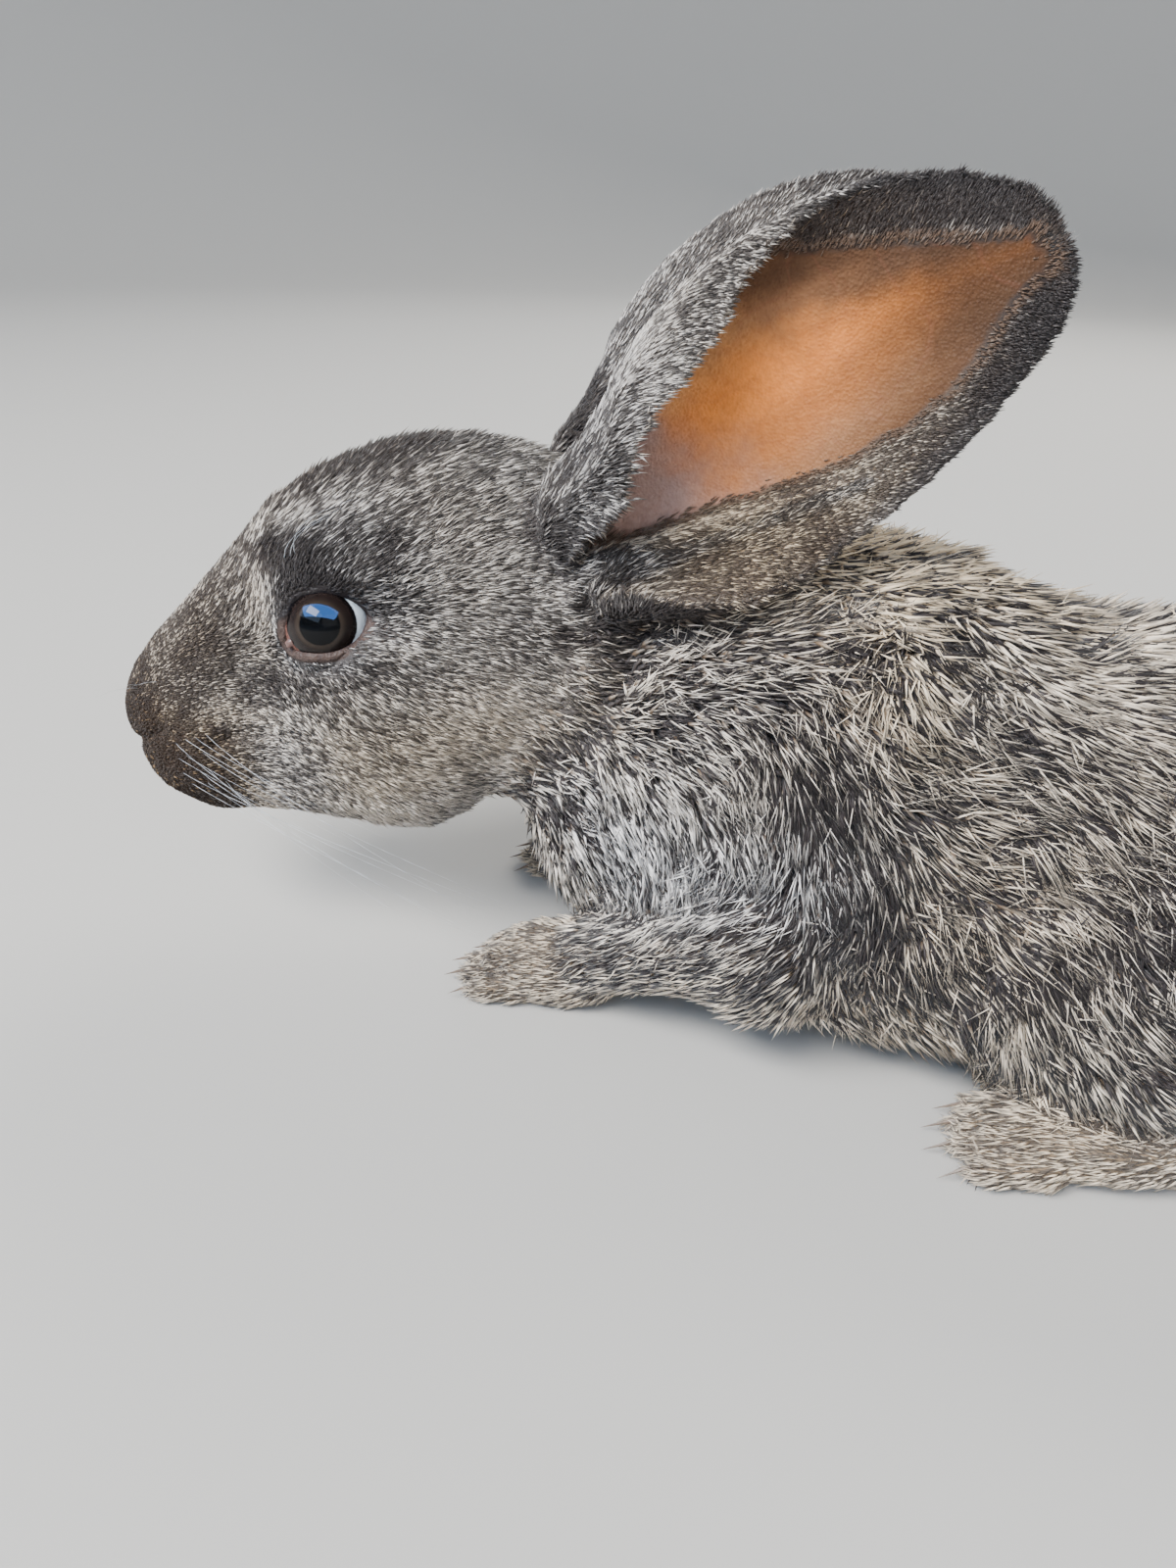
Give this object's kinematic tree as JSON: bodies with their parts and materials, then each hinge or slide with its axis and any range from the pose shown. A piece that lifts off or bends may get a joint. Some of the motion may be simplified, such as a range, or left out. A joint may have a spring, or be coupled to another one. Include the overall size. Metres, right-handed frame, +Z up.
{
  "type": "rabbit",
  "caption": "Young grey-brown rabbit crouching with its nose held low and its long ears laid back, a still life-size model.",
  "frame": {"origin": "middle of the footprint of the rabbit's bounding box, on the floor that the soles stand on", "axes": "+X from the nose to the tail, -Y to the rabbit's left side, +Z up"},
  "size_m": [0.304, 0.1276, 0.1631],
  "materials": {
    "coat": "soft agouti fur, slate base with pale cream tips",
    "ear": "thin warm skin inside, short grey fur outside",
    "nose": "short dark fur and bare nostril rims",
    "eye": "wet, very glossy",
    "claw": "smooth horn"
  },
  "bodies": {
    "root": {"chest": "coat", "head": "coat", "left_ear": "ear", "left_eye": "eye", "left_forearm": "coat", "left_forepaw": "coat", "left_forepaw_claw_1": "claw", "left_forepaw_claw_2": "claw", "left_forepaw_claw_3": "claw", "left_forepaw_claw_4": "claw", "left_forepaw_claw_5": "claw", "left_hind_foot": "coat", "left_hind_foot_claw_1": "claw", "left_hind_foot_claw_2": "claw", "left_hind_foot_claw_3": "claw", "left_hind_foot_claw_4": "claw", "left_shank": "coat", "left_thigh": "coat", "left_upper_arm": "coat", "loin": "coat", "lower_jaw": "coat", "neck": "coat", "nose": "nose", "right_ear": "ear", "right_eye": "eye", "right_forearm": "coat", "right_forepaw": "coat", "right_forepaw_claw_1": "claw", "right_forepaw_claw_2": "claw", "right_forepaw_claw_3": "claw", "right_forepaw_claw_4": "claw", "right_forepaw_claw_5": "claw", "right_hind_foot": "coat", "right_hind_foot_claw_1": "claw", "right_hind_foot_claw_2": "claw", "right_hind_foot_claw_3": "claw", "right_hind_foot_claw_4": "claw", "right_shank": "coat", "right_thigh": "coat", "right_upper_arm": "coat", "rump": "coat", "tail": "coat"}
  },
  "joints": []
}
